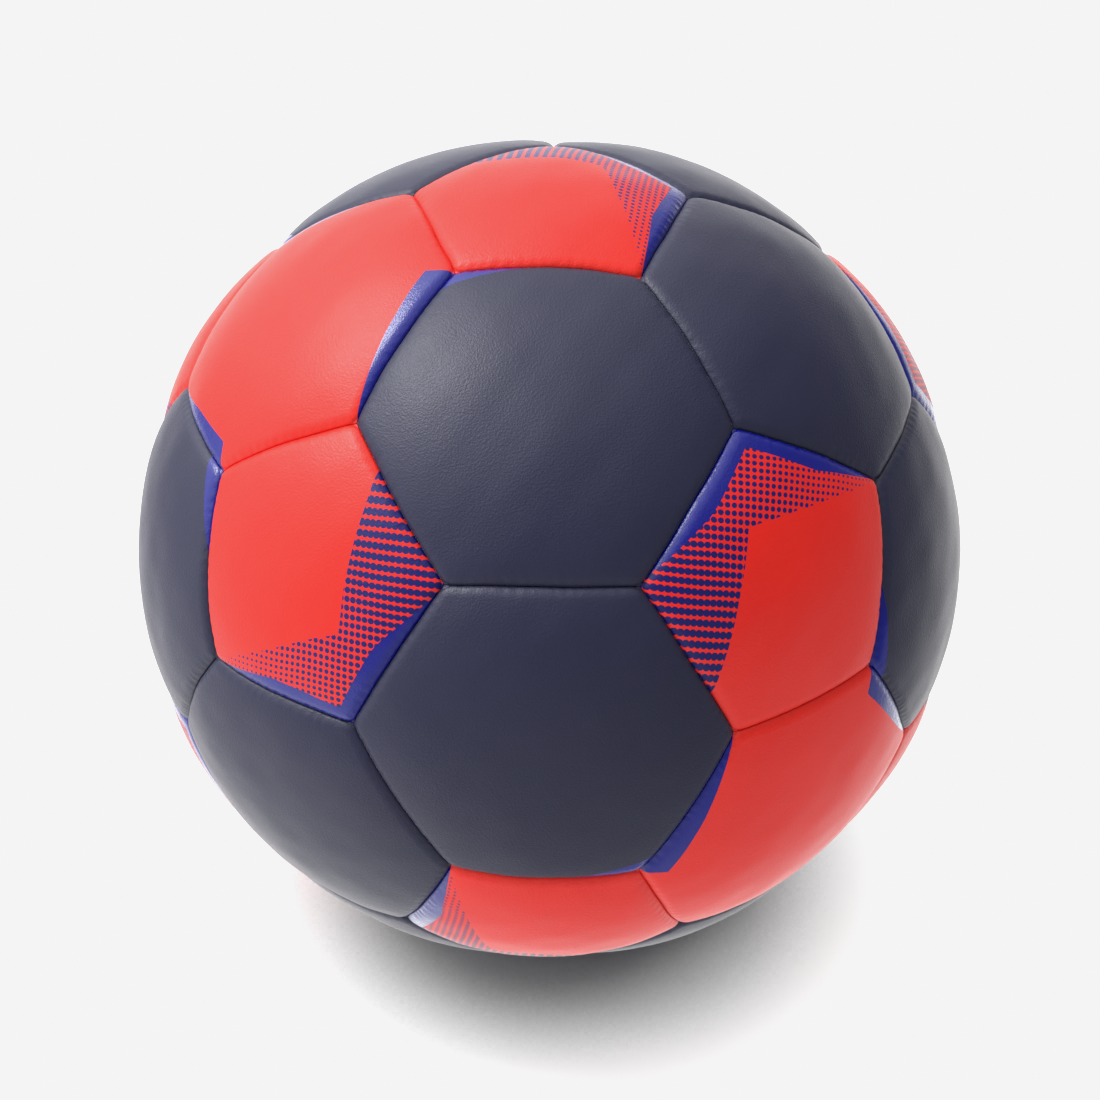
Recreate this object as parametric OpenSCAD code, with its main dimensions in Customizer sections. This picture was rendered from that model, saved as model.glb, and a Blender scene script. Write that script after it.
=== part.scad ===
// Handball of 32 stitched panels over foam and cloth, round a rubber bladder with a needle valve.
// The origin is the centre of the ball, +Z goes up through the top pentagon, and -Y is the front.

/* [Ball] */
// Diameter over the crowns of the panels, for a size 2 ball of 55 cm round
ball_d = 175; // [140:1:200]
// How far the middle of a panel's side lies below the panel's crown
crown_h = 0.7; // [0.4:0.1:1.2]

/* [Cover panels] */
// Thickness of the synthetic leather
cover_t = 1.4; // [0.8:0.1:2]
// Radius of the roll where a panel turns down into the seam
roll_r = 3; // [2.4:0.1:4]
// Gap between the turned-in edges of two panels
seam_gap = 0.3; // [0.2:0.05:0.6]

/* [Backing] */
// Thickness of the foam under a panel's crown
foam_t = 3.2; // [2:0.1:5]
// Thickness of the cloth lining
lining_t = 0.8; // [0.5:0.1:1.5]
// Gap that the glue fills between two layers
glue_gap = 0.2; // [0.1:0.05:0.4]

/* [Seam thread] */
// Diameter of the thread
thread_d = 0.7; // [0.5:0.05:0.9]
// Gap between the thread and the rolls that it lies on
thread_gap = 0.15; // [0.1:0.05:0.3]
// Distance from the end of a thread to the corner where three seams meet
thread_end = 1.5; // [1.2:0.1:3]

/* [Bladder] */
// Thickness of the rubber
bladder_t = 1; // [0.6:0.1:2]
// Gap between the bladder and the linings round it
bladder_gap = 0.3; // [0.1:0.05:0.6]

/* [Valve] */
// Diameter of the rubber sleeve that holds the plug
sleeve_d = 9; // [8:0.5:12]
// Gap round the sleeve in the layers that it passes through
sleeve_gap = 0.2; // [0.1:0.05:0.5]
// Depth of the valve's face below the crown of its panel
valve_sink = 0.5; // [0.2:0.1:1]
// Diameter of the sleeve's foot inside the bladder
foot_d = 26; // [18:1:34]
// Thickness of the foot
foot_t = 1.2; // [0.8:0.1:2]
// Length of the sleeve below the foot
sleeve_l = 9; // [8.5:0.5:14]
// Diameter of the plug
plug_d = 5.6; // [4.8:0.2:6]
// Length of the plug
plug_l = 15; // [13:0.5:16.5]
// Diameter of the rim that keeps the plug in
rim_d = 7; // [6.4:0.1:7.4]
// Height of the rim
rim_h = 2; // [1:0.5:3]
// Gap between the plug and its sleeve
plug_gap = 0.1; // [0.05:0.05:0.2]
// Diameter of the needle channel
needle_d = 1.9; // [1.4:0.1:2.4]
// Depth of the needle channel, below which the slit is closed
needle_l = 10; // [7:0.5:12]
// Diameter of the dimple that guides the needle in
dimple_d = 3.6; // [3:0.2:4.4]
// Depth of the dimple
dimple_h = 0.8; // [0.4:0.1:1.5]

/* [Hidden] */
$fn = 96;

// Golden ratio, and how far a seam's middle is from the centre of a ball whose seams are 1 long
golden = (1 + sqrt(5)) / 2;
seam_far = 1.5 * golden;

// Angles at the centre: panel axis to the middle of a side, and middle of a seam to its end
hexagon_lean = asin(sqrt(3) / 2 / seam_far);
pentagon_lean = asin(0.5 / tan(36) / seam_far);
seam_half = atan(0.5 / seam_far);

// Elevations of the rings of panels
hexagon_high = 90 - hexagon_lean - pentagon_lean;
hexagon_low = hexagon_high - 2 * hexagon_lean;
pentagon_high = atan(0.5);

// Angle at which the roll's circle meets the domed face at the middle of a side
roll_meet = 12;

// Radii from the ball's centre, from the outside in
ball_r = ball_d / 2;
side_r = ball_r - crown_h;
shoulder_r = side_r - roll_r * cos(roll_meet);
foam_in_r = ball_r - cover_t - glue_gap - foam_t;
lining_out_r = foam_in_r - glue_gap;
inner_r = lining_out_r - lining_t;
bladder_r = inner_r - bladder_gap;
bladder_in_r = bladder_r - bladder_t;
foot_out_r = bladder_in_r - glue_gap;
foot_in_r = foot_out_r - foot_t;
valve_r = ball_r - valve_sink;

// Foam and lining lie between the turned-in edges, this far from the middle of the seam
backing_wall = seam_gap / 2 + roll_r + glue_gap;

// A thread lies in the groove, on the rolls of both panels
thread_r = shoulder_r + sqrt(pow(roll_r + thread_d / 2 + thread_gap, 2) - pow(seam_gap / 2 + roll_r, 2));
thread_half = seam_half - thread_end / thread_r * 180 / PI;

// Overrun of cuts past the faces that they open
over = cover_t;

// Columns of the table of rings
NAME = 0;
SIDES = 1;
COUNT = 2;
ELEVATION = 3;
AZIMUTH = 4;
TURN = 5;
THREAD_SIDES = 6;

// Rings of panels from top to bottom, and the sides whose seam with another hexagon each one holds
rings = [
    ["pentagon_top", 5, 1, 90, 0, 180, []],
    ["hexagon_top", 6, 5, hexagon_high, 0, 0, [1, 3]],
    ["pentagon_upper", 5, 5, pentagon_high, 36, 180, []],
    ["hexagon_upper", 6, 5, hexagon_low, 0, 0, [2, 4]],
    ["hexagon_lower", 6, 5, -hexagon_low, 36, 0, [3]],
    ["pentagon_lower", 5, 5, -pentagon_high, 0, 0, []],
    ["hexagon_bottom", 6, 5, -hexagon_high, 36, 0, [2]],
    ["pentagon_bottom", 5, 1, -90, 180, 0, []],
];

// The four red hexagons stand at the corners of a tetrahedron, and the valve is in a navy one behind
red_hexagons = ["hexagon_top_5", "hexagon_upper_3", "hexagon_lower_1", "hexagon_bottom_4"];
valve_panel = "hexagon_lower_3";
red = "#f4544a";
navy = "#3b3d52";

function panel_name(ring, k) = ring[COUNT] == 1 ? ring[NAME] : str(ring[NAME], "_", k + 1);
function is_red(ring, name) = ring[SIDES] == 5 || len([for (n = red_hexagons) if (n == name) n]) > 0;
function lean(sides) = sides == 6 ? hexagon_lean : pentagon_lean;

// The dome's centre lies above the ball's, so that its face drops by crown_h at the middle of a side
function dome_shift(a) = (ball_r * ball_r - side_r * side_r) / (2 * (ball_r - side_r * cos(a)));

panel_names = [for (ring = rings, k = [0:ring[COUNT] - 1]) panel_name(ring, k)];
foam_names = [for (ring = rings) str(ring[NAME], "_foam")];
lining_names = [for (ring = rings) str(ring[NAME], "_lining")];

// Puts a panel's pieces, drawn round +Z with side 0 towards +Y, at place k of its ring
module at_place(ring, k)
{
    rotate([0, 0, ring[AZIMUTH] + 72 * k])
        rotate([90 - ring[ELEVATION], 0, 0])
            rotate([0, 0, ring[TURN]])
                children();
}

// Turns +Z into the normal of the plane through the ball's centre and side s, pointing into the panel
module at_side(sides, s)
{
    rotate([0, 0, 360 / sides * s])
        rotate([90 - lean(sides), 0, 0])
            children();
}

// All that lies within a panel's side, with its roll: the roll's circle is swept along the seam
module rolled_side()
{
    wall = seam_gap / 2;
    rotate_extrude()
    {
        translate([0, wall])
            square([shoulder_r, ball_r - wall]);
        translate([0, wall + roll_r])
            square([ball_r + over, ball_r - wall - roll_r]);
        translate([shoulder_r, wall + roll_r])
            circle(r = roll_r);
    }
}

// All that lies more than wall away from a side's plane
module flat_side(wall)
{
    translate([-ball_r, -ball_r, wall])
        cube([ball_d, ball_d, ball_r]);
}

module dome(sides, inset)
{
    shift = dome_shift(lean(sides));
    translate([0, 0, shift])
        sphere(r = ball_r - shift - inset);
}

// The dome, cut down to its rolled sides one after another
module rolled_dome(sides, s)
{
    intersection()
    {
        if (s == 0)
            dome(sides, 0);
        else
            rolled_dome(sides, s - 1);
        at_side(sides, s)
            rolled_side();
    }
}

// The dome under an inset, with straight sides at a distance wall from the seams
module flat_dome(sides, inset, wall)
{
    intersection()
    {
        dome(sides, inset);
        intersection_for (s = [0:sides - 1])
            at_side(sides, s)
                flat_side(wall);
    }
}

// A domed cover whose edges roll over into the seams and are turned in, doubled, for the stitching
module cover(sides)
{
    difference()
    {
        rolled_dome(sides, sides - 1);
        flat_dome(sides, cover_t, seam_gap / 2 + roll_r);
        sphere(r = inner_r);
    }
}

module foam_pad(sides)
{
    difference()
    {
        flat_dome(sides, cover_t + glue_gap, backing_wall);
        sphere(r = foam_in_r);
    }
}

module lining(sides)
{
    difference()
    {
        intersection()
        {
            sphere(r = lining_out_r);
            flat_dome(sides, cover_t + glue_gap, backing_wall);
        }
        sphere(r = inner_r);
    }
}

// A hole along +Z for the valve's sleeve
module sleeve_hole()
{
    cylinder(d = sleeve_d + 2 * sleeve_gap, h = ball_r + over);
}

// Draws the children at place k of a ring, with the sleeve's hole where the valve is
module layer(ring, k)
{
    at_place(ring, k)
    {
        if (panel_name(ring, k) == valve_panel)
            difference()
            {
                children();
                sleeve_hole();
            }
        else
            children();
    }
}

module at_valve()
{
    for (ring = rings, k = [0:ring[COUNT] - 1])
        if (panel_name(ring, k) == valve_panel)
            at_place(ring, k)
                children();
}

module panel(ring, k)
{
    color(is_red(ring, panel_name(ring, k)) ? red : navy)
        layer(ring, k)
            cover(ring[SIDES]);
}

module ring_foam(ring)
{
    color("#e8e2cf")
        for (k = [0:ring[COUNT] - 1])
            layer(ring, k)
                foam_pad(ring[SIDES]);
}

module ring_lining(ring)
{
    color("#f2f0ea")
        for (k = [0:ring[COUNT] - 1])
            layer(ring, k)
                lining(ring[SIDES]);
}

// A length of thread along side s, short of both corners
module thread(sides, s)
{
    at_side(sides, s)
        rotate_extrude(angle = 2 * thread_half, start = 90 - thread_half)
            translate([thread_r, 0])
                circle(d = thread_d, $fn = 24);
}

// Threads between two hexagons
module hexagon_thread()
{
    color("#22232e")
        for (ring = rings, k = [0:ring[COUNT] - 1], s = ring[THREAD_SIDES])
            at_place(ring, k)
                thread(ring[SIDES], s);
}

// Threads round the pentagons
module pentagon_thread()
{
    color("#22232e")
        for (ring = rings, k = [0:ring[COUNT] - 1], s = [0:ring[SIDES] - 1])
            if (ring[SIDES] == 5)
                at_place(ring, k)
                    thread(ring[SIDES], s);
}

module bladder()
{
    color("#2a2a2c")
        difference()
        {
            sphere(r = bladder_r);
            sphere(r = bladder_in_r);
            at_valve()
                sleeve_hole();
        }
}

// The sleeve's foot follows the inside of the bladder, and its bore steps out for the plug's rim
module valve_sleeve()
{
    rim_top = valve_r - plug_l + rim_h + plug_gap;
    bore_d = plug_d + 2 * plug_gap;
    rim_bore_d = rim_d + 2 * plug_gap;
    color("#1d1d1f")
        at_valve()
            difference()
            {
                union()
                {
                    translate([0, 0, foot_in_r - sleeve_l])
                        cylinder(d = sleeve_d, h = valve_r - foot_in_r + sleeve_l);
                    intersection()
                    {
                        cylinder(d = foot_d, h = ball_r);
                        difference()
                        {
                            sphere(r = foot_out_r);
                            sphere(r = foot_in_r);
                        }
                    }
                }
                cylinder(d = bore_d, h = ball_r);
                cylinder(d = rim_bore_d, h = rim_top);
            }
}

// A rubber plug with a rim at its inner end and a channel that stops short of the closed slit
module valve_plug()
{
    color("#141416")
        at_valve()
            difference()
            {
                union()
                {
                    translate([0, 0, valve_r - plug_l])
                        cylinder(d = plug_d, h = plug_l);
                    translate([0, 0, valve_r - plug_l])
                        cylinder(d = rim_d, h = rim_h);
                }
                translate([0, 0, valve_r - needle_l])
                    cylinder(d = needle_d, h = needle_l + over);
                translate([0, 0, valve_r - dimple_h])
                    cylinder(d1 = needle_d, d2 = dimple_d, h = dimple_h);
                translate([0, 0, valve_r])
                    cylinder(d = dimple_d, h = over);
            }
}

for (ring = rings, k = [0:ring[COUNT] - 1])
    panel(ring, k);
for (ring = rings)
    ring_foam(ring);
for (ring = rings)
    ring_lining(ring);
hexagon_thread();
pentagon_thread();
bladder();
valve_sleeve();
valve_plug();
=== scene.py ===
import math
import bmesh
import bpy
import numpy as np
from mathutils import Matrix, Vector


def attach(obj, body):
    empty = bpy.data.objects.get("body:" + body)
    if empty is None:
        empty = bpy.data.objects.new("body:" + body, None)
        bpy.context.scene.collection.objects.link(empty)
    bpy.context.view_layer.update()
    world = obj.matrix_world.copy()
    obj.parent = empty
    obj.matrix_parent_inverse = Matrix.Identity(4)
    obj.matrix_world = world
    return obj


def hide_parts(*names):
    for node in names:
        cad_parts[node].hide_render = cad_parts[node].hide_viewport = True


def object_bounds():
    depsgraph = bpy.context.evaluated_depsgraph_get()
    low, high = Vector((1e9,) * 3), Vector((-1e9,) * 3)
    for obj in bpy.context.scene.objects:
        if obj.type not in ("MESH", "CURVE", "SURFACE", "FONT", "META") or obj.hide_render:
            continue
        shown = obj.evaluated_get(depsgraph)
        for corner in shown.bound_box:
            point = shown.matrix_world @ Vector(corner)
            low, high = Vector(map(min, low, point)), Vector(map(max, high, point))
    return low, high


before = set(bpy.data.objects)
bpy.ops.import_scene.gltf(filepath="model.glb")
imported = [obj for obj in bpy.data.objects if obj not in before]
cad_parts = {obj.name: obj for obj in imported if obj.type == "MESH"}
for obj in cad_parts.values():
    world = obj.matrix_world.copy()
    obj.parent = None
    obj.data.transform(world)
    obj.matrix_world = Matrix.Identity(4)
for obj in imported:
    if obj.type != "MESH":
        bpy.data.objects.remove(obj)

cadBox = [list(corner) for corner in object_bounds()]
mm = 0.001               # the scene is in metres, the settings are in millimetres
tiny = 1e-9              # keeps divisions safe at a panel's middle

# The ball is a truncated icosahedron that stands on its five-fold axis, with a pentagon on top.
golden = (1 + math.sqrt(5)) / 2
ball = {
    "crownRadius": round(cadBox[1][2] / mm, 2),    # at a panel's middle; depths are below this
    "crown": 0.7,                # how far a panel's middle stands above the middle of a seam
    "seamReach": 1.5 * golden,   # from the centre to the middle of a seam, in seam lengths
}
ball["sideRadius"] = ball["crownRadius"] - ball["crown"]
lean = {                         # angle from a panel's middle to the middle of its side
    6: math.asin(math.sqrt(3) / 2 / ball["seamReach"]),
    5: math.asin(0.5 / math.tan(math.pi / 5) / ball["seamReach"]),
}
cornerLean = math.atan(math.tan(lean[5]) / math.cos(math.pi / 5))    # from a pentagon's middle to its corner
halfSeam = math.atan(0.5 / ball["seamReach"])                        # half a seam, seen from the centre
hexHigh = math.pi / 2 - lean[6] - lean[5]                            # elevations of the rings of panels
hexLow = hexHigh - 2 * lean[6]
pentHigh = math.atan(0.5)
fifth = 2 * math.pi / 5

# name, sides, how many, elevation, azimuth of the first, turn of the panel on its own axis
rings = [
    ("pentagon_top", 5, 1, math.pi / 2, 0, math.pi),
    ("hexagon_top", 6, 5, hexHigh, 0, 0),
    ("pentagon_upper", 5, 5, pentHigh, fifth / 2, math.pi),
    ("hexagon_upper", 6, 5, hexLow, 0, 0),
    ("hexagon_lower", 6, 5, -hexLow, fifth / 2, 0),
    ("pentagon_lower", 5, 5, -pentHigh, 0, 0),
    ("hexagon_bottom", 6, 5, -hexHigh, fifth / 2, 0),
    ("pentagon_bottom", 5, 1, -math.pi / 2, math.pi, 0),
]


def panelPlaces():                        # for each name its ring, its sides and its turn on the ball
    found = {}
    for ring, sides, count, up, around, turn in rings:
        for k in range(count):
            place = (Matrix.Rotation(around + fifth * k, 3, "Z") @ Matrix.Rotation(math.pi / 2 - up, 3, "X")
                     @ Matrix.Rotation(turn, 3, "Z"))
            found[ring if count == 1 else f"{ring}_{k + 1}"] = (ring, sides, np.array(place))
    return found


places = panelPlaces()
valvePanel = "hexagon_lower_3"
valveAxis = places[valvePanel][2][:, 2]
print("panels placed:", len(places))

# A ball sewn by hand is a little uneven: its seams wander, and its faces swell and dip.
sewing = {
    "aside": 0.22,               # how far seams wander from true, mm
    "asideSum": 1.7,             # usual size of three waves at right angles, taken together
    "out": 0.10,                 # how far faces swell and dip, mm
    "slow": {"seed": 7, "count": 26, "shortest": 7.0, "longest": 60.0},    # wave lengths in mm
    "fine": {"seed": 8, "count": 30, "shortest": 3.0, "longest": 9.0},
    "fade": 0.7,                 # shorter waves are weaker, by this power of their length
    "pullReach": 20.0,           # how far the pull at a seam corner is felt, mm
    "valveClear": (5.0, 16.0),   # mm from the valve: even up to the first, fully uneven past the second
    # how far a pentagon's corners, counted from its left top one, are pulled to the right and upwards, mm
    "cornerPulls": {
        "pentagon_top": {0: (-0.4, -0.3), 1: (-1.5, 1.1), 3: (1.3, 1.0)},
        "pentagon_upper_1": {0: (-0.4, 0.0), 1: (0.6, 0.5), 2: (-0.6, 0.1), 3: (0.1, -0.2), 4: (0.5, -0.2)},
        "pentagon_upper_5": {0: (-0.3, 0.7), 1: (-0.3, -0.4), 3: (0.1, 1.3), 4: (-1.0, -0.6)},
        "pentagon_lower_1": {0: (-0.2, -0.1), 3: (0.5, -1.3), 4: (1.3, -0.9)},
    },
}


def cornerPulls():                        # each pulled corner's direction, with its pull in mm
    found = []
    for panel, corners in sewing["cornerPulls"].items():
        for k, (right, up) in corners.items():
            a = math.pi / 2 + fifth * (k + 0.5)
            flat = math.sin(cornerLean)
            corner = places[panel][2] @ (flat * math.cos(a), flat * math.sin(a), math.cos(cornerLean))
            east = np.cross((0, 0, 1), corner)
            east /= np.linalg.norm(east)
            found.append((corner, east * right + np.cross(corner, east) * up))
    return found


def waveSet(seed, count, shortest, longest):
    rng = np.random.default_rng(seed)
    axes = rng.normal(size=(count, 3))
    axes /= np.linalg.norm(axes, axis=1)[:, None]
    length = np.geomspace(longest, shortest, count)
    strength = (length / longest) ** sewing["fade"]
    return {"k": axes * (2 * math.pi / length)[:, None], "shift": rng.uniform(0, 2 * math.pi, (count, 4)),
            "gain": strength / math.sqrt((strength ** 2).sum() / 2)}


pulls = cornerPulls()
slowWaves = waveSet(**sewing["slow"])
fineWaves = waveSet(**sewing["fine"])


def wander(points, waves, channel):       # a smooth value of about -2 to 2 for points on the ball, mm
    phase = points @ waves["k"].T + waves["shift"][:, channel]
    return np.cos(phase) @ waves["gain"]


def smoothStep(t):
    return t * t * (3 - 2 * t)


def valveCalm(d):                         # 0 beside the valve, 1 away from it
    away = ball["crownRadius"] * np.arccos(np.clip(d @ valveAxis, -1, 1))
    near, far = sewing["valveClear"]
    return smoothStep(np.clip((away - near) / (far - near), 0, 1))


def unevenPoints(points):                 # mm; all layers and both panels of a seam are moved alike
    r = np.linalg.norm(points, axis=1)[:, None]
    d = points / r
    at = d * ball["crownRadius"]
    calm = valveCalm(d)[:, None]
    aside = np.stack([wander(at, slowWaves, c) for c in range(3)], axis=1)
    aside *= sewing["aside"] / sewing["asideSum"]
    for corner, pull in pulls:
        away = np.linalg.norm(d - corner, axis=1) * ball["crownRadius"]
        aside += np.exp(-(away / sewing["pullReach"]) ** 2)[:, None] * pull
    aside -= d * (aside * d).sum(axis=1)[:, None]
    out = wander(at, slowWaves, 3)[:, None] * sewing["out"]
    moved = d + aside * calm / ball["crownRadius"]
    moved /= np.linalg.norm(moved, axis=1)[:, None]
    return moved * (r + out * calm)


# A cover is a skin with a domed face, an edge that rolls over into the seam and a hem turned in under the pad
cover = {                        # mm, where it isn't a count or a share
    "cuts": 68,                  # rows of the face between its middle and a side
    "crowd": 0.36,               # how much the rows close up towards the seams
    "roll": 2.2,                 # how far from the seam the edge begins to roll over
    "rollDepth": 1.0,            # and how deep it rolls
    "rollEnd": 0.998,            # the roll stops this short of upright
    "drop": 0,                   # depth of the face below the cover's own
    "edge": 0.05,                # from a panel's edge to the seam's plane
    "swell": 0.75,               # how far the face falls off towards its seams, on top of the roll
    "swellReach": 4.0,
    # the hem that is turned in: distance from the seam's plane and depth, where None is under the face
    "wall": [(0.06, 3.3), (0.08, 4.3), (0.10, 5.1), (0.35, 5.55), (0.9, 5.7), (2.2, 5.7), (2.8, 5.55),
             (3.05, 5.0), (3.1, 4.1), (3.15, None)],
    "under": [0.84, 0.72, 0.55, 0.36, 0.17],   # the underside's rows, as shares of the way to the side
    "thickness": 1.4,
    "sewn": True,                # with puckers
    # for the valve: the face's row at the rim, how deep the rim is pressed in, and the rows of the wall
    "hole": {"row": 7, "radius": 4.7, "collar": 0.5, "step": 0.3},
}
# The dimple that each stitch pulls into the edge, and the fine creases beside the seam
pucker = {
    "depth": 0.17,
    "pitch": 2.3,
    "reach": 0.8,                # how soon it fades away from the seam
    "edgeFree": 0.2,             # it doesn't fade nearer the seam than this
    "slide": 0.35,               # how far a dimple slips along its seam
    "unequal": 0.35,             # how much their depths differ
    "shallowest": 0.2,           # share of the depth
    "easeIn": (0.8, 0.25),       # full from this far out, and the share left at the very edge
    "crease": 0.012,
    "creaseReach": 6.0,
}
holeForm = {
    "wallRows": 3,
    "roundTo": 0.6,              # rows nearer the valve than this share of the way turn round
    "spread": 1.05,              # a round row's radius there, over the distance of that row's sides
    "collarReach": 0.9,          # how far from the hole the face is pressed in
}


def sideAngles(sides):
    return [math.pi / 2 + 2 * math.pi / sides * k for k in range(sides)]


def extrudeRow(bm, rim, z):               # one more row of faces from a rim; gives the new rim
    grown = bmesh.ops.extrude_edge_only(bm, edges=rim)["geom"]
    for part in grown:
        if isinstance(part, bmesh.types.BMVert):
            part.co.z = z
    return [part for part in grown if isinstance(part, bmesh.types.BMEdge) and part.is_boundary]


# A flat closed panel of circumradius 1. Its z only counts rows: 0 on the face, downwards past its edge and
# then under it, and upwards in the wall of a hole.
def flatPanel(sides, layer, holed):
    bm = bmesh.new()
    bmesh.ops.create_circle(bm, cap_ends=True, cap_tris=True, segments=sides, radius=1,
                            matrix=Matrix.Rotation(math.pi / sides, 4, "Z"))
    bmesh.ops.subdivide_edges(bm, edges=bm.edges[:], cuts=layer["cuts"], use_grid_fill=True)
    rim = [e for e in bm.edges if e.is_boundary]
    hole = []
    if holed:
        sideways = [Vector((math.cos(a), math.sin(a), 0)) for a in sideAngles(sides)]
        reach = math.cos(math.pi / sides) * (layer["hole"]["row"] - 0.5) / (layer["cuts"] + 1)
        inner = [v for v in bm.verts if max(v.co.dot(way) for way in sideways) < reach]
        bmesh.ops.delete(bm, geom=inner, context="VERTS")
        outer = set(rim)
        hole = [e for e in bm.edges if e.is_boundary and e not in outer]
    rows = len(layer["wall"]) + len(layer["under"])
    for row in range(rows):
        rim = extrudeRow(bm, rim, -(row + 1))
    if holed:
        for row in range(holeForm["wallRows"]):
            hole = extrudeRow(bm, hole, row + 1)
        bmesh.ops.bridge_loops(bm, edges=rim + hole)
    else:
        last = list({v for e in rim for v in e.verts})
        bmesh.ops.pointmerge(bm, verts=last, merge_co=(0, 0, -rows))
    mesh = bpy.data.meshes.new(f"flat{sides}")
    bm.to_mesh(mesh)
    bm.free()
    return mesh


def sideAxes(sides):                      # for each side its seam plane's normal, its run and its middle
    normal, along, middle = [], [], []
    cl, sl = math.cos(lean[sides]), math.sin(lean[sides])
    for a in sideAngles(sides):
        ca, sa = math.cos(a), math.sin(a)
        normal.append((-ca * cl, -sa * cl, sl))
        along.append((-sa, ca, 0))
        middle.append((ca * sl, sa * sl, cl))
    return np.array(normal), np.array(along), np.array(middle)


def seamDistance(d, sides):               # to each side and to the nearest, and the place along that one, mm
    normal, along, middle = sideAxes(sides)
    s = ball["crownRadius"] * np.arcsin(np.clip(d @ normal.T, -1, 1))
    side = s.argmin(axis=1)
    u = ball["crownRadius"] * np.arctan2((d * along[side]).sum(axis=1), (d * middle[side]).sum(axis=1))
    return s, s.min(axis=1), u


def domeRadius(d, sides):                 # a dome through the crown and through the middles of the sides
    top, side = ball["crownRadius"], ball["sideRadius"]
    shift = (top ** 2 - side ** 2) / (2 * (top - side * math.cos(lean[sides])))
    dome = top - shift
    up = d[:, 2]
    return shift * up + np.sqrt(dome ** 2 - shift ** 2 * (1 - up ** 2))


def puckerDip(d, place, near, u):         # how deep the puckers and creases are, mm
    at = (d @ place.T) * ball["crownRadius"]
    slide = wander(at, fineWaves, 0) * pucker["slide"]
    depth = np.clip(1 + pucker["unequal"] * wander(at, fineWaves, 1), pucker["shallowest"], None)
    pull = 0.5 + 0.5 * np.cos(2 * math.pi * (np.abs(u) + slide) / pucker["pitch"])
    edge = np.exp(-np.clip(near - pucker["edgeFree"], 0, None) / pucker["reach"])
    full, least = pucker["easeIn"]
    crease = np.exp(-np.clip(near, 0, None) / pucker["creaseReach"]) * wander(at, fineWaves, 2)
    return pucker["depth"] * depth * pull * edge * np.clip(near / full, least, 1) - pucker["crease"] * crease


def faceRadius(d, sides, place, sewn):    # of the outer face, in direction d of the panel's frame
    s, near, u = seamDistance(d, sides)
    dip = np.clip(cover["roll"] - s, 0, None)
    # the cubes round off the corner between two sides
    over = np.minimum((dip ** 3).sum(axis=1) ** (1 / 3) / cover["roll"], cover["rollEnd"])
    r = domeRadius(d, sides) - cover["rollDepth"] * (1 - np.sqrt(1 - over ** 2))
    r -= cover["swell"] * (1 - np.prod(1 - np.exp(-np.clip(s, 0, None) / cover["swellReach"]), axis=1))
    if sewn:
        r -= puckerDip(d, place, near, u)
    return r, near


def crowded(t, crowd):                    # moves rows outwards, as shares of the way to the side
    return t + crowd * (t - t ** 3)


def roundRows(xy, t, layer, sides):       # rows near the valve turn from straight-sided to round
    hole, roundTo = layer["hole"], holeForm["roundTo"]
    apothem = math.cos(math.pi / sides)
    first = crowded(hole["row"] / (layer["cuts"] + 1), layer["crowd"])
    mix = smoothStep(np.clip((roundTo - t) / (roundTo - first), 0, 1))
    inner = math.tan(hole["radius"] / ball["crownRadius"]) / math.tan(lean[sides]) * apothem
    outer = roundTo * apothem * holeForm["spread"]
    size = inner + (t - first) * (outer - inner) / (roundTo - first)
    return xy * ((1 - mix) + mix * size / np.maximum(np.linalg.norm(xy, axis=1), tiny))[:, None]


def pressHole(d, r, row, hole):           # presses in the rim of the valve's hole and sends its wall down
    beside = np.linalg.norm(d[:, :2], axis=1) * ball["crownRadius"] - hole["radius"]
    collar = np.clip(1 - beside / holeForm["collarReach"], 0, 1)
    r = np.where(row <= 0, r - hole["collar"] * collar ** 2, r)
    return np.where(row < 0, r + hole["step"] * row, r)


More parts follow.
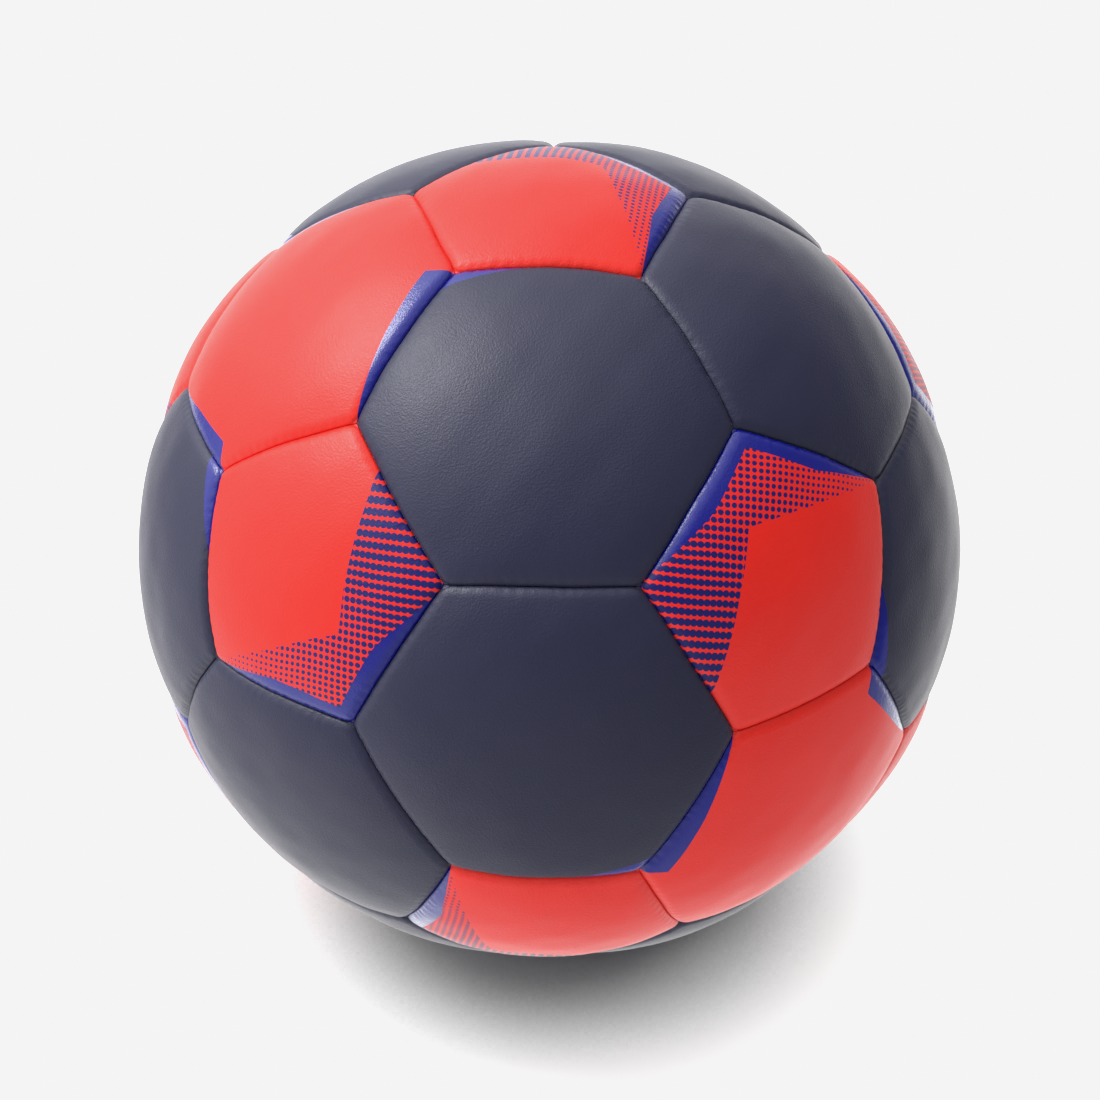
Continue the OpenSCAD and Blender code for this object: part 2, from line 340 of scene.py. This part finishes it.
# Lays a flat panel on the ball, and gives its points' directions in the panel's frame and their distances
# from the nearest seam.
def layPanel(mesh, name, layer):
    sides, place = places[name][1:]
    flat = np.empty(len(mesh.vertices) * 3)
    mesh.vertices.foreach_get("co", flat)
    flat = flat.reshape(-1, 3)
    xy, row = flat[:, :2], np.rint(-flat[:, 2]).astype(int)
    apothem = math.cos(math.pi / sides)
    size = math.tan(lean[sides]) / apothem      # the circumradius, as seen from the ball's centre
    out = np.array([(math.cos(a), math.sin(a)) for a in sideAngles(sides)])
    even = np.clip((xy @ out.T).max(axis=1) / apothem, tiny, 1)    # share of the way to the nearest side
    t = crowded(even, layer["crowd"])
    xy = xy * (t / even)[:, None]
    if name == valvePanel:
        xy = roundRows(xy, t, layer, sides)

    # every row down to the hem is drawn in from the seam's plane by its own distance
    inset = np.full(len(xy), layer["edge"])
    radius = np.full(len(xy), ball["crownRadius"])
    beneath = row > len(layer["wall"])
    for k, (away, depth) in enumerate(layer["wall"]):
        inset[row == k + 1] = away
        if depth is None:
            beneath |= row == k + 1
        else:
            radius[row == k + 1] -= depth
    slant = np.sqrt(1 + (np.linalg.norm(xy, axis=1) * size) ** 2)
    drawn = row <= len(layer["wall"])
    xy[drawn] *= (1 - inset * slant / (radius * math.sin(lean[sides])))[drawn, None]
    for k, share in enumerate(layer["under"]):
        xy[row == len(layer["wall"]) + k + 1] *= share

    d = np.concatenate([xy * size, np.ones((len(xy), 1))], axis=1)
    d /= np.linalg.norm(d, axis=1)[:, None]
    r, near = faceRadius(d, sides, place, layer["sewn"])
    r = r - layer["drop"] if "drop" in layer else ball["crownRadius"] - layer["top"]
    r = np.where((row > 0) & drawn, radius, r)
    if "thickness" in layer:
        r = np.where(beneath, faceRadius(d, sides, place, False)[0] - layer["thickness"], r)
    else:
        r = np.where(beneath, ball["crownRadius"] - layer["floor"], r)
    if name == valvePanel:
        r = pressHole(d, r, row, layer["hole"])
    points = unevenPoints((d * r[:, None]) @ place.T)
    mesh.vertices.foreach_set("co", (points * mm).ravel())
    return d, near


# The print, in mm from the panel's middle in the pattern's own frame
printed = {
    # how many sides the pattern is turned round on its panel; a hexagon that isn't named is plain
    "turn": {
        "pentagon_top": 4, "pentagon_upper_1": 0, "pentagon_upper_2": 1, "pentagon_upper_3": 4,
        "pentagon_upper_4": 2, "pentagon_upper_5": 3, "pentagon_lower_1": 4, "pentagon_lower_2": 1,
        "pentagon_lower_3": 0, "pentagon_lower_4": 3, "pentagon_lower_5": 2, "pentagon_bottom": 4,
        "hexagon_top_1": 0, "hexagon_top_3": 2, "hexagon_top_4": 4, "hexagon_upper_1": 3,
        "hexagon_upper_2": 1, "hexagon_upper_5": 5, "hexagon_lower_2": 4, "hexagon_lower_3": 0,
        "hexagon_lower_4": 2, "hexagon_bottom_1": 5, "hexagon_bottom_3": 3, "hexagon_bottom_5": 1,
        "hexagon_lower_1": 0, "hexagon_top_5": 2, "hexagon_upper_3": 5, "hexagon_bottom_4": 5,
    },
    "redHexagons": ["hexagon_lower_1", "hexagon_top_5", "hexagon_upper_3", "hexagon_bottom_4"],
    # outlines: a pentagon's ink and the area of its dots, a navy hexagon's ink, and a third of a red one's
    "pentagonBand": [(-33, -7.8), (-12.8, -16.9), (0, -26.5), (10.3, -18.6), (12.7, -17.1), (25, -11.9),
                     (33, -8.5), (33, -42), (-33, -42)],
    "pentagonDots": [(-28.2, -9.9), (6.3, -12.9), (23.5, 17.7), (42, 14), (42, -42), (-28.2, -42)],
    "navyStrip": [(-26, 25.4), (1, 32.7), (1, 42), (-30, 42)],
    "redBand": [(-17.6, 33), (-18.4, 31), (-24.8, 14), (-30.8, 0), (-44, 0), (-44, 30), (-25, 40)],
    # the halftone's cells: spacing, heading, the count at the panel's middle, and how much their lines bend
    # across it (for x squared, x times y and y squared)
    "columns": {"spacing": 1.1107, "heading": math.radians(151.471), "first": 10.48,
                "bend": (-0.0008, -0.0069, 0.0017)},
    "rows": {"spacing": 1.6197, "heading": math.radians(66.923), "first": 16.85,
             "bend": (-0.0011, -0.0045, -0.0022)},
    # dot size in columns and rows, as shares of a cell, by the distance in the heading of growth
    "growth": math.radians(18),
    "dotAt": [-28, -8, 3, 11, 17, 25],
    "dotWide": [0.36, 0.70, 0.82, 1.02, 1.14, 1.20],
    "dotTall": [0.36, 0.70, 0.72, 0.76, 0.77, 0.76],
    "outside": -9.0,             # distance from the print where a panel has none
    "uvSpan": 100.0,             # mm across the square of the panel's own map
}


def insideDistance(q, corners):           # signed distance to a polygon's edge, positive inside
    p = np.array(corners, float)
    best = np.full(len(q), np.inf)
    inside = np.zeros(len(q), bool)
    for a, b in zip(p, np.roll(p, -1, axis=0)):
        ab, aq = b - a, q - a
        t = np.clip((aq @ ab) / (ab @ ab), 0, 1)
        best = np.minimum(best, np.linalg.norm(aq - t[:, None] * ab, axis=1))
        if a[1] != b[1]:
            cross = (a[1] > q[:, 1]) != (b[1] > q[:, 1])
            inside ^= cross & (q[:, 0] < ab[0] * (q[:, 1] - a[1]) / ab[1] + a[0])
    return np.where(inside, best, -best)


def latticeCount(q, lattice):             # cells from the pattern's start; a dot is at each half
    x, y = q[:, 0], q[:, 1]
    xx, xy, yy = lattice["bend"]
    along = (x * math.cos(lattice["heading"]) + y * math.sin(lattice["heading"])) / lattice["spacing"]
    return lattice["first"] + along + xx * x * x + xy * x * y + yy * y * y


def patternFields(name, sides, d):        # the values that the cover materials read
    angle = np.arctan2(d[:, 1], d[:, 0]) - printed["turn"].get(name, 0) * 2 * math.pi / sides
    reach = ball["crownRadius"] * np.arccos(np.clip(d[:, 2], -1, 1))
    q = np.stack([reach * np.cos(angle), reach * np.sin(angle)], axis=1)
    none = np.full(len(q), printed["outside"])
    fields = {"inkEdge": none, "dotEdge": none}
    fields["dots"] = np.zeros((len(q), 3))
    fields["dotSize"] = np.ones((len(q), 3))
    if sides == 5:
        fields["inkEdge"] = insideDistance(q, printed["pentagonBand"])
        fields["dotEdge"] = insideDistance(q, printed["pentagonDots"])
        fields["dots"][:, 0] = latticeCount(q, printed["columns"])
        fields["dots"][:, 1] = latticeCount(q, printed["rows"])
        fields["dots"][:, 2] = 0.5
        towards = q[:, 0] * math.cos(printed["growth"]) + q[:, 1] * math.sin(printed["growth"])
        fields["dotSize"][:, 0] = np.interp(towards, printed["dotAt"], printed["dotWide"]) / 2
        fields["dotSize"][:, 1] = np.interp(towards, printed["dotAt"], printed["dotTall"]) / 2
    elif name in printed["redHexagons"]:
        for k in range(3):
            a = 2 * math.pi / 3 * k
            turned = q @ np.array([(math.cos(a), math.sin(a)), (-math.sin(a), math.cos(a))])
            fields["inkEdge"] = np.maximum(fields["inkEdge"], insideDistance(turned, printed["redBand"]))
    elif name in printed["turn"]:
        fields["inkEdge"] = insideDistance(q, printed["navyStrip"])
    return q, fields


def linear(hexColour):                    # an sRGB colour as the linear values that shaders take
    parts = [int(hexColour[i:i + 2], 16) / 255 for i in (1, 3, 5)]
    return tuple(c / 12.92 if c <= 0.04045 else ((c + 0.055) / 1.055) ** 2.4 for c in parts) + (1.0,)


def newMaterial(name):
    material = bpy.data.materials.new(name)
    material.use_nodes = True
    material.node_tree.nodes.clear()
    return material, material.node_tree


# A setting is the node's own or, by name or number, an input's value. A link comes from a socket, or from a
# node's first output.
def addNode(tree, kind, settings, links=None):
    node = tree.nodes.new("ShaderNode" + kind)
    for key, value in settings.items():
        if isinstance(key, str) and hasattr(node, key):
            setattr(node, key, value)
        else:
            node.inputs[key].default_value = value
    for key, source in (links or {}).items():
        socket = source.outputs[0] if isinstance(source, bpy.types.Node) else source
        tree.links.new(socket, node.inputs[key])
    return node


# Coated microfibre is a felt of fine fibres under a thin skin of polyurethane, embossed with a leather grain.
# To the eye that is a soft broad sheen over fine pebbles, with hardly a mirror in it. The print is a glossy
# ink rolled on top: it half fills the grain, and so it mirrors the lights round it.
coverLook = {
    # the third colour of each cover is lighter: a painted highlight along the rolled edges beside the seams
    "red": {"base": "#E02216", "deep": "#D81C12", "paintedEdgeHighlight": "#EC463C"},
    "navy": {"base": "#25263F", "deep": "#22233B", "paintedEdgeHighlight": "#363850"},
    "ink": "#060F78",
    "dotInk": "#0C0F5A",
    # size in mm, detail and roughness of the noise; a real grain is finer than this one, which just shows
    "grain": (0.25, 3, 0.6),
    "crease": (1.9, 4, 0.6),
    "mottle": (11.0, 3, 0.5),
    "speckle": (0.22, 2, 0.7),
    "pebble": (0.375, 0.6),      # size in mm and smoothness
    "ragged": 0.10,              # width of the print's ragged edge, mm
    "paintedHighlightReach": (3.0, 0.6),     # mm from the seam: where the painted highlight on the rolled edge begins and where it is full
    # how much of the painted highlight's colour is mixed in at most
    "paintedHighlightMost": 0.22,
    "grainRange": (0.3, 0.7),    # the noise's values that give the least and the most roughness
    "roughness": (0.36, 0.48),
    "speckleRange": (0.35, 0.65),
    "inkRoughness": (0.15, 0.27),
    "relief": {"pebble": 1.2, "grain": 0.7, "crease": 0.5, "depth": 0.058},    # shares, and the depth in mm
    "inkRelief": {"grain": 1.0, "speckle": 0.8, "depth": 0.055},
    "bumpStrength": 0.6,
    "specular": 0.36,
    "inkCoat": 0.35,
    "dotCoat": 0.03,
    "inkCoatRoughness": 0.12,
    "sheen": 0.20,
    "sheenRoughness": 0.2,
    "sheenTint": "#FFF3EA",
}


def coverMaterial(name, colours):
    look = coverLook
    material, tree = newMaterial(name)
    place = addNode(tree, "TexCoord", {}).outputs["Object"]
    noise = {}
    for label in ("grain", "crease", "mottle", "speckle"):
        size, detail, rough = look[label]
        made = addNode(tree, "TexNoise", {"Scale": 1 / (size * mm), "Detail": detail, "Roughness": rough},
                       {"Vector": place})
        noise[label] = made.outputs["Fac"]
    size, smooth = look["pebble"]
    pebble = addNode(tree, "TexVoronoi", {"feature": "SMOOTH_F1", "Scale": 1 / (size * mm),
                                          "Smoothness": smooth}, {"Vector": place}).outputs["Distance"]
    field = {}
    for label, output in (("inkEdge", "Fac"), ("dotEdge", "Fac"), ("seamNear", "Fac"), ("dots", "Vector"),
                          ("dotSize", "Vector")):
        field[label] = addNode(tree, "Attribute", {"attribute_name": label}).outputs[output]

    # a halftone dot is where the way from its cell's middle is less than the dot's half size
    cell = addNode(tree, "VectorMath", {"operation": "FRACTION"}, {0: field["dots"]})
    cell = addNode(tree, "VectorMath", {"operation": "SUBTRACT", 1: (0.5, 0.5, 0.5)}, {0: cell})
    cell = addNode(tree, "VectorMath", {"operation": "DIVIDE"}, {0: cell, 1: field["dotSize"]})
    reach = addNode(tree, "VectorMath", {"operation": "LENGTH"}, {0: cell}).outputs["Value"]
    inDot = addNode(tree, "Math", {"operation": "LESS_THAN", 1: 1.0}, {0: reach})
    inArea = addNode(tree, "Math", {"operation": "GREATER_THAN", 1: 0.0}, {0: field["dotEdge"]})
    dot = addNode(tree, "Math", {"operation": "MULTIPLY"}, {0: inDot, 1: inArea})
    edge = addNode(tree, "Math", {"operation": "MULTIPLY_ADD", 1: look["ragged"]},
                   {0: noise["grain"], 2: field["inkEdge"]})
    band = addNode(tree, "Math", {"operation": "GREATER_THAN", 1: look["ragged"] / 2}, {0: edge})
    ink = addNode(tree, "Math", {"operation": "MAXIMUM"}, {0: dot, 1: band})

    skin = addNode(tree, "Mix", {"data_type": "RGBA", 6: linear(colours["base"]), 7: linear(colours["deep"])},
                   {0: noise["mottle"]}).outputs[2]
    # painted highlight: near the seams the cover is mixed towards its lighter colour, in patches from the
    # crease noise
    begins, full = look["paintedHighlightReach"]
    beside = addNode(tree, "MapRange", {"From Min": begins, "From Max": full, "To Min": 0.0,
                                        "To Max": look["paintedHighlightMost"]}, {"Value": field["seamNear"]})
    paintedHighlightShare = addNode(tree, "Math", {"operation": "MULTIPLY"}, {0: beside, 1: noise["crease"]})
    skin = addNode(tree, "Mix", {"data_type": "RGBA", 7: linear(colours["paintedEdgeHighlight"])},
                   {0: paintedHighlightShare, 6: skin}).outputs[2]
    inkColour = addNode(tree, "Mix", {"data_type": "RGBA", 6: linear(look["dotInk"]), 7: linear(look["ink"])},
                        {0: band}).outputs[2]
    colour = addNode(tree, "Mix", {"data_type": "RGBA"}, {0: ink, 6: skin, 7: inkColour}).outputs[2]

    uneven = {}
    for label, span in (("grain", look["grainRange"] + look["roughness"]),
                        ("speckle", look["speckleRange"] + look["inkRoughness"])):
        limits = dict(zip(("From Min", "From Max", "To Min", "To Max"), span))
        uneven[label] = addNode(tree, "MapRange", limits, {"Value": noise[label]})
    rough = addNode(tree, "Mix", {"data_type": "FLOAT"}, {0: band, 2: uneven["grain"], 3: uneven["speckle"]})

    relief = look["relief"]
    height = addNode(tree, "Math", {"operation": "MULTIPLY", 1: relief["crease"]}, {0: noise["crease"]})
    height = addNode(tree, "Math", {"operation": "MULTIPLY_ADD", 1: relief["grain"]},
                     {0: noise["grain"], 2: height})
    height = addNode(tree, "Math", {"operation": "MULTIPLY_ADD", 1: relief["pebble"]}, {0: pebble, 2: height})
    bump = addNode(tree, "Bump", {"Strength": look["bumpStrength"], "Distance": relief["depth"] * mm},
                   {"Height": height})
    relief = look["inkRelief"]
    height = addNode(tree, "Math", {"operation": "MULTIPLY", 1: relief["grain"]}, {0: noise["grain"]})
    height = addNode(tree, "Math", {"operation": "MULTIPLY_ADD", 1: relief["speckle"]},
                     {0: noise["speckle"], 2: height})
    inkBump = addNode(tree, "Bump", {"Strength": look["bumpStrength"], "Distance": relief["depth"] * mm},
                      {"Height": height})

    coat = addNode(tree, "Math", {"operation": "MULTIPLY", 1: look["dotCoat"]}, {0: dot})
    coat = addNode(tree, "Math", {"operation": "MULTIPLY_ADD", 1: look["inkCoat"]}, {0: band, 2: coat})
    shader = addNode(tree, "BsdfPrincipled", {
        "IOR": 1.5, "Specular IOR Level": look["specular"], "Coat Roughness": look["inkCoatRoughness"],
        "Sheen Weight": look["sheen"], "Sheen Roughness": look["sheenRoughness"],
        "Sheen Tint": linear(look["sheenTint"]),
    }, {
        "Base Color": colour, "Roughness": rough, "Normal": bump, "Coat Weight": coat, "Coat Normal": inkBump,
    })
    addNode(tree, "OutputMaterial", {}, {"Surface": shader})
    return material


# The hidden layers and the rubber parts: colours, the sizes in mm of the grain and of the colour's patches,
# the roughness, the strength of the bump and the fuzz of fibres
plainLooks = {
    # EVA foam, blown and then sliced: pale and matt, with fine pores
    "closedCellFoam": {"base": "#E9E6DC", "deep": "#D9D4C6", "grain": 0.5, "patch": 9, "rough": 0.8,
                       "bump": 0.6, "sheen": 0},
    # cotton cloth, woven plain and left raw: cream, with a faint fuzz
    "wovenCottonLining": {"base": "#E4DFD2", "deep": "#CFC8B8", "grain": 0.25, "patch": 6, "rough": 0.85,
                          "bump": 0.5, "sheen": 0.2},
    # twisted polyester thread, pulled through wax: dark, with a dull gloss
    "waxedPolyesterThread": {"base": "#2A2228", "deep": "#1B161C", "grain": 0.12, "patch": 2, "rough": 0.5,
                             "bump": 0.5, "sheen": 0},
    # butyl rubber, cured in a blasted mould: near black and satin
    "butylBladderRubber": {"base": "#1D1C1E", "deep": "#131214", "grain": 0.4, "patch": 8, "rough": 0.55,
                           "bump": 0.3, "sheen": 0},
    # soft rubber, pressed in a smooth mould: near black, a little glossier
    "mouldedValveRubber": {"base": "#26262A", "deep": "#19191C", "grain": 0.2, "patch": 3, "rough": 0.5,
                           "bump": 0.3, "sheen": 0},
}
plainForm = {
    "grainDetail": 4,
    "patchDetail": 2,
    "depth": 0.1,                # of the grain, mm
    "stray": 0.1,                # of the roughness, to each side
}


def plainMaterial(name):
    look = plainLooks[name]
    material, tree = newMaterial(name)
    place = addNode(tree, "TexCoord", {}).outputs["Object"]
    grain = addNode(tree, "TexNoise", {"Scale": 1 / (look["grain"] * mm), "Detail": plainForm["grainDetail"]},
                    {"Vector": place})
    patch = addNode(tree, "TexNoise", {"Scale": 1 / (look["patch"] * mm), "Detail": plainForm["patchDetail"]},
                    {"Vector": place})
    colour = addNode(tree, "Mix", {"data_type": "RGBA", 6: linear(look["base"]), 7: linear(look["deep"])},
                     {0: patch}).outputs[2]
    rough = addNode(tree, "MapRange", {"To Min": look["rough"] - plainForm["stray"],
                                       "To Max": look["rough"] + plainForm["stray"]}, {"Value": grain})
    bump = addNode(tree, "Bump", {"Strength": look["bump"], "Distance": plainForm["depth"] * mm},
                   {"Height": grain})
    shader = addNode(tree, "BsdfPrincipled", {"Sheen Weight": look["sheen"]},
                     {"Base Color": colour, "Roughness": rough, "Normal": bump})
    addNode(tree, "OutputMaterial", {}, {"Surface": shader})
    return material


redCover = coverMaterial("redCoatedMicrofibre", coverLook["red"])
navyCover = coverMaterial("navyCoatedMicrofibre", coverLook["navy"])
plain = {name: plainMaterial(name) for name in plainLooks}
print("materials made:", 2 + len(plain))


def objectFrom(mesh, name, material):
    piece = bpy.data.objects.new(name, mesh)
    bpy.context.scene.collection.objects.link(piece)
    mesh.materials.append(material)
    mesh.polygons.foreach_set("use_smooth", np.ones(len(mesh.polygons), bool))
    return piece


def turnOutward(mesh):
    bm = bmesh.new()
    bm.from_mesh(mesh)
    bmesh.ops.recalc_face_normals(bm, faces=bm.faces)
    bm.to_mesh(mesh)
    bm.free()


def makeCover(name):
    sides = places[name][1]
    mesh = templates[sides, name == valvePanel].copy()
    mesh.name = f"cover_{name}"
    d, near = layPanel(mesh, name, cover)
    turnOutward(mesh)
    q, fields = patternFields(name, sides, d)
    fields["seamNear"] = near
    for label, values in fields.items():
        kind, entry = ("FLOAT", "value") if values.ndim == 1 else ("FLOAT_VECTOR", "vector")
        mesh.attributes.new(label, kind, "POINT").data.foreach_set(entry, values.ravel())
    corner = np.empty(len(mesh.loops), int)
    mesh.loops.foreach_get("vertex_index", corner)
    uv = mesh.uv_layers.new(name="panel")
    uv.data.foreach_set("uv", (q[corner] / printed["uvSpan"] + 0.5).ravel())
    red = sides == 5 or name in printed["redHexagons"]
    piece = objectFrom(mesh, f"cover_{name}", redCover if red else navyCover)
    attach(piece, "root")
    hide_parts(name)


templates = {}
for sides, holed in ((6, False), (5, False), (6, True)):
    templates[sides, holed] = flatPanel(sides, cover, holed)
for name in places:
    makeCover(name)
for template in templates.values():
    bpy.data.meshes.remove(template)
print("covers made:", len(places))

# Behind each cover lie a foam pad, whose top follows the cover's face, and a lining with a round top. Their
# settings are those of the cover, and "top" and "floor" are depths.
pads = {
    "foam": {
        "cuts": 11, "crowd": 0.3, "edge": 3.35, "drop": 1.6, "floor": 4.8,
        "wall": [(3.35, 4.2), (3.35, 4.6), (3.5, 4.8)], "under": [0.7, 0.4, 0.2], "sewn": False,
        "hole": {"row": 2, "radius": 5.75, "collar": 0.5, "step": 0.3}, "fill": 0.9,
    },
    "lining": {
        "cuts": 11, "crowd": 0.3, "edge": 3.35, "top": 5.0, "floor": 5.8,
        "wall": [(3.35, 5.4), (3.35, 5.7), (3.4, 5.8)], "under": [0.7, 0.4, 0.2], "sewn": False,
        "hole": {"row": 2, "radius": 5.75, "collar": 0, "step": 0.2},
    },
}


def makePads(ring, kind, material):       # one kind of layer behind all the panels of a ring
    layer = pads[kind]
    joined = bmesh.new()
    for name, (panelRing, sides, place) in places.items():
        if panelRing == ring:
            mesh = flatPanel(sides, layer, name == valvePanel)
            layPanel(mesh, name, layer)
            joined.from_mesh(mesh)
            bpy.data.meshes.remove(mesh)
    bmesh.ops.recalc_face_normals(joined, faces=joined.faces)
    mesh = bpy.data.meshes.new(f"{kind}_{ring}")
    joined.to_mesh(mesh)
    joined.free()
    piece = objectFrom(mesh, f"{kind}_{ring}", material)
    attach(piece, "root")
    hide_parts(f"{ring}_{kind}")


for ring, *_ in rings:
    makePads(ring, "foam", plain["closedCellFoam"])
    makePads(ring, "lining", plain["wovenCottonLining"])
print("pads and linings made:", 2 * len(rings))

# The stitches that show between two hems, each a small spindle that lies a little across its seam
stitch = {
    "pitch": 2.3,
    "length": 1.9,
    "diameter": 0.24,
    "depth": 3.35,               # of its middle, below the crowns
    "endFree": 1.5,              # bare length at each end of a seam
    "tilt": math.radians(9),
}


def findSeams():                          # each seam once: whether it has a pentagon, its middle and its run
    found, done = [], set()
    for name, (ring, sides, place) in places.items():
        normal, along, middle = sideAxes(sides)
        for k in range(sides):
            centre = place @ middle[k]
            across = 2 * centre * (centre @ place[:, 2]) - place[:, 2]    # as far on the seam's other side
            other = max((n for n in places if n != name), key=lambda n: places[n][2][:, 2] @ across)
            if other not in done:
                found.append((5 in (sides, places[other][1]), centre, place @ along[k]))
        done.add(name)
    return found


def makeStitches(kind, seams, material):
    bm = bmesh.new()
    radius = ball["crownRadius"] - stitch["depth"]
    count = int((2 * halfSeam * radius - 2 * stitch["endFree"]) / stitch["pitch"])
    size = Matrix.Diagonal((stitch["length"], stitch["diameter"], stitch["diameter"], 1))
    for centre, run in seams:
        for i in range(count):
            u = (i - (count - 1) / 2) * stitch["pitch"] / radius
            up = centre * math.cos(u) + run * math.sin(u)
            ahead = run * math.cos(u) - centre * math.sin(u)
            lie = ahead * math.cos(stitch["tilt"]) + np.cross(up, ahead) * math.sin(stitch["tilt"])
            turn = Matrix((lie, np.cross(up, lie), up)).transposed().to_4x4()
            move = Matrix.Scale(mm, 4) @ Matrix.Translation(unevenPoints(up[None] * radius)[0])
            bmesh.ops.create_icosphere(bm, subdivisions=1, radius=0.5, matrix=move @ turn @ size)
    mesh = bpy.data.meshes.new(f"stitches_{kind}")
    bm.to_mesh(mesh)
    bm.free()
    piece = objectFrom(mesh, f"stitches_{kind}", material)
    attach(piece, "root")
    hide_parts(f"{kind}_thread")
    print("stitches made:", kind, len(seams), "seams with", count, "in each")


seams = findSeams()
for kind, pentagonal in (("hexagon", False), ("pentagon", True)):
    chosen = [(centre, run) for withPentagon, centre, run in seams if withPentagon == pentagonal]
    makeStitches(kind, chosen, plain["waxedPolyesterThread"])

# The bladder, the valve's sleeve and its plug keep their solids
for node, name in (("bladder", "butylBladderRubber"), ("valve_sleeve", "mouldedValveRubber"),
                   ("valve_plug", "mouldedValveRubber")):
    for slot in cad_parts[node].material_slots:
        slot.material = plain[name]
print("bladder and valve dressed")

# A studio: a sheet of pale paper, a soft key light and a room with broad pale things in it
stage = {
    "floorSize": 6.0,            # m
    "floorColour": "#A2A2A2",
    "floorRoughness": 0.9,
    "floorSpecular": 0.1,
    "paintedFloorGlow": 0.94,           # a glow painted into the paper, which the ambient occlusion dims near the ball into a painted shadow
    "paintedShadowReach": 0.08,           # m, how far off things dim the painted glow: a painted contact shadow
    "paintedShadowOpen": (0.32, 0.60),    # share of open sky: no painted glow below the first, all of it above the second
    "keyFrom": (-0.587, 0.096, 0.804),      # the way towards the light
    "keyStrength": 2.1,
    "keyAngle": math.radians(22),
    # broad pale things round the ball: the side on which each stands, the cosine from its middle at which
    # it begins, and how bright its middle is
    "around": {
        "softboxLeft": ((-0.8, 0.0, 0.6), 0.5, 1.85),
        "wallBehind": ((-0.25, 0.8, 0.55), 0.5, 1.0),
        "ceiling": ((-0.12, 0.05, 0.99), 0.5, 1.20),
        "paperBehind": ((0.1, 0.8, -0.6), 0.5, 1.9),
        "paperLeft": ((-0.7, -0.1, -0.7), 0.6, 1.25),
        "paperRight": ((0.6, 0.1, -0.8), 0.5, 0.25),
        "paperFront": ((-0.2, -0.8, -0.6), 0.5, 0.45),
    },
    "fill": 0.26,                # the rest of the room
    "roomBehind": 1.1,           # seen past the paper's edge, the room is as pale as the paper
    "paperWhite": 0.905,         # white in full light shows as this share of white, as on a web shop's page
}


# Uncoated background paper is even and matt. It is lit from above, and it glows with a painted light that the
# ambient occlusion dims near the ball into a painted shadow.
def paperMaterial():
    material, tree = newMaterial("paleMattePaper")
    openSky = addNode(tree, "AmbientOcclusion", {"samples": 16, "Distance": stage["paintedShadowReach"]}).outputs["AO"]
    low, high = stage["paintedShadowOpen"]
    paintedGlow = addNode(tree, "MapRange", {"From Min": low, "From Max": high, "To Min": 0.0,
                                      "To Max": stage["paintedFloorGlow"]}, {"Value": openSky})
    shader = addNode(tree, "BsdfPrincipled", {
        "Base Color": linear(stage["floorColour"]), "Roughness": stage["floorRoughness"],
        "Specular IOR Level": stage["floorSpecular"], "Emission Color": (1, 1, 1, 1),
    }, {"Emission Strength": paintedGlow})
    addNode(tree, "OutputMaterial", {}, {"Surface": shader})
    return material


def makeFloor():
    bm = bmesh.new()
    bmesh.ops.create_grid(bm, x_segments=4, y_segments=4, size=stage["floorSize"] / 2)
    bmesh.ops.translate(bm, verts=bm.verts, vec=(0, 0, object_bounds()[0][2]))
    mesh = bpy.data.meshes.new("floor")
    bm.to_mesh(mesh)
    bm.free()
    floor = objectFrom(mesh, "floor", paperMaterial())
    floor.visible_glossy = False          # the leather mirrors the room's own paper, not the sheet


def makeKey():
    sun = bpy.data.lights.new("keySun", "SUN")
    sun.energy = stage["keyStrength"]
    sun.angle = stage["keyAngle"]
    sunObject = bpy.data.objects.new("keySun", sun)
    sunObject.rotation_euler = Vector(stage["keyFrom"]).to_track_quat("Z", "Y").to_euler()
    bpy.context.scene.collection.objects.link(sunObject)


def makeRoom():
    world = bpy.data.worlds.new("studio")
    world.use_nodes = True
    tree = world.node_tree
    where = addNode(tree, "TexCoord", {}).outputs["Generated"]
    bright = addNode(tree, "Value", {})
    bright.outputs[0].default_value = stage["fill"]
    for side, begins, strength in stage["around"].values():
        facing = addNode(tree, "VectorMath", {"operation": "DOT_PRODUCT", 1: Vector(side).normalized()},
                         {0: where}).outputs["Value"]
        pool = addNode(tree, "MapRange", {"interpolation_type": "SMOOTHSTEP", "From Min": begins,
                                          "From Max": 1.0, "To Min": 0.0, "To Max": strength},
                       {"Value": facing})
        bright = addNode(tree, "Math", {"operation": "ADD"}, {0: pool, 1: bright})
    seen = addNode(tree, "LightPath", {}).outputs["Is Camera Ray"]
    behind = addNode(tree, "Math", {"operation": "MULTIPLY", 1: stage["roomBehind"]}, {0: seen})
    bright = addNode(tree, "Math", {"operation": "MAXIMUM"}, {0: bright, 1: behind})
    background = tree.nodes["Background"]
    background.inputs["Color"].default_value = (1, 1, 1, 1)
    tree.links.new(bright.outputs[0], background.inputs["Strength"])
    bpy.context.scene.world = world


makeFloor()
makeKey()
makeRoom()
print("floor, key light and room made")

# The camera, as it was fitted to the photograph's seam corners
view = {
    "lens": 68.571,
    "sensor": 36,
    "place": (0.00562, -0.36648, 0.26701),       # m
    "turn": (53.8854, -0.1125, 0.9373),          # degrees
}
camera = bpy.data.cameras.new("camera")
camera.lens = view["lens"]
camera.sensor_width = view["sensor"]
cameraObject = bpy.data.objects.new("camera", camera)
cameraObject.location = view["place"]
cameraObject.rotation_euler = [math.radians(a) for a in view["turn"]]
bpy.context.scene.collection.objects.link(cameraObject)
bpy.context.scene.camera = cameraObject

display = bpy.context.scene.view_settings
display.view_transform = "Standard"
display.use_curve_mapping = True
display.curve_mapping.extend = "HORIZONTAL"
display.curve_mapping.curves[3].points[-1].location = (1.0, stage["paperWhite"])
display.curve_mapping.update()
print("camera set")
